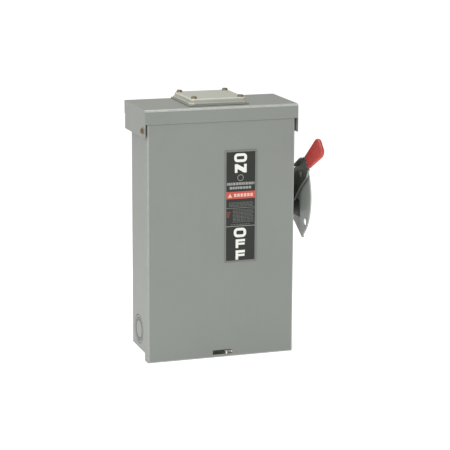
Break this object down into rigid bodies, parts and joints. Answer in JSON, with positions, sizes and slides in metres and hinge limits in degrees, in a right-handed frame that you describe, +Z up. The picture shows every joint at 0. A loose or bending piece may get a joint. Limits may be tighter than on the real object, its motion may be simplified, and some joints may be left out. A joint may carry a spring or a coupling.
{
  "type": "disconnect switch box",
  "caption": "Wall-mounted raintight steel switch box with a lift-up cover, rain hood, side throw handle with guard, knife switch, fuses and terminals inside.",
  "frame": {"origin": "centre of the plain drawn pad in the middle of the back, in the plane of the wall", "axes": "+X to the right seen from the front, -Y out of the front, +Y into the wall, +Z up"},
  "size_m": [0.2638, 0.1368, 0.3831],
  "materials": {
    "enamel": "satin grey enamel",
    "red_vinyl": "dipped vinyl",
    "bright_zinc": "bright zinc plate",
    "yellow_zinc": "yellow chromate zinc plate",
    "label": "printed film",
    "moulding": "black phenolic moulding",
    "copper": "rolled copper",
    "tinned_copper": "tin plate",
    "aluminium": "extruded",
    "fibre": "fibre tube",
    "clear_sheet": "clear polycarbonate",
    "rubber": "sponge rubber",
    "spring_steel": "drawn wire"
  },
  "bodies": {
    "enclosure": {"enclosure_body": "enamel", "side_knockout": "enamel", "bottom_knockout_1": "enamel", "bottom_knockout_2": "enamel", "top_hood": "enamel", "hub_closure_plate": "enamel", "handle_guard": "enamel", "hub_gasket": "rubber", "hub_screw_1": "bright_zinc", "hub_screw_2": "bright_zinc", "hub_screw_3": "bright_zinc", "hub_screw_4": "bright_zinc", "latch_staple": "bright_zinc", "guard_rivet_1": "bright_zinc", "guard_rivet_2": "bright_zinc", "blade_pin_1": "bright_zinc", "blade_pin_2": "bright_zinc", "line_lug_1_screw": "bright_zinc", "line_lug_2_screw": "bright_zinc", "load_lug_1_screw": "bright_zinc", "load_lug_2_screw": "bright_zinc", "ground_lug_screw": "bright_zinc", "neutral_screw_1": "bright_zinc", "neutral_screw_2": "bright_zinc", "hinge_screw_left": "yellow_zinc", "hinge_screw_right": "yellow_zinc", "shaft_bushing": "moulding", "switch_base": "moulding", "neutral_insulator": "moulding", "line_shield": "clear_sheet", "neutral_bar": "aluminium", "ground_lug": "aluminium", "line_lug_1": "aluminium", "line_lug_2": "aluminium", "load_lug_1": "aluminium", "load_lug_2": "aluminium", "line_jaw_1": "tinned_copper", "line_jaw_2": "tinned_copper", "upper_terminal_1": "tinned_copper", "upper_terminal_2": "tinned_copper", "lower_terminal_1": "tinned_copper", "lower_terminal_2": "tinned_copper", "fuse_1_tube": "fibre", "fuse_1_top_cap": "tinned_copper", "fuse_1_bottom_cap": "tinned_copper", "fuse_2_tube": "fibre", "fuse_2_top_cap": "tinned_copper", "fuse_2_bottom_cap": "tinned_copper"},
    "cover": {"front_cover": "enamel", "cover_label": "label", "cover_catch": "yellow_zinc"},
    "handle": {"handle_lever": "yellow_zinc", "handle_grip": "red_vinyl", "handle_shaft": "bright_zinc", "shaft_crank": "bright_zinc", "snap_spring": "spring_steel"},
    "link": {"drive_link": "yellow_zinc"},
    "crossbar": {"crossbar": "moulding", "blade_1": "copper", "blade_2": "copper"}
  },
  "joints": [
    {"name": "cover_hinge", "type": "hinge", "parent": "enclosure", "child": "cover", "pos_m": [0, -0.094, 0.154], "axis": [-1, 0, 0], "range_deg": [0, 85]},
    {"name": "handle_throw", "type": "hinge", "parent": "enclosure", "child": "handle", "pos_m": [0.1, -0.042, 0.04], "axis": [1, 0, 0], "range_deg": [0, 90]},
    {"name": "crossbar_turn", "type": "hinge", "parent": "enclosure", "child": "crossbar", "pos_m": [0, -0.034, 0.01], "axis": [1, 0, 0], "range_deg": [0, 90]},
    {"name": "link_swing", "type": "hinge", "parent": "handle", "child": "link", "pos_m": [0.0865, -0.042, 0.064], "axis": [1, 0, 0], "range_deg": [-90, 0]}
  ],
  "couplings": [
    {"joint": "crossbar_turn", "follows": "handle_throw", "ratio": 1},
    {"joint": "link_swing", "follows": "handle_throw", "ratio": -1}
  ]
}
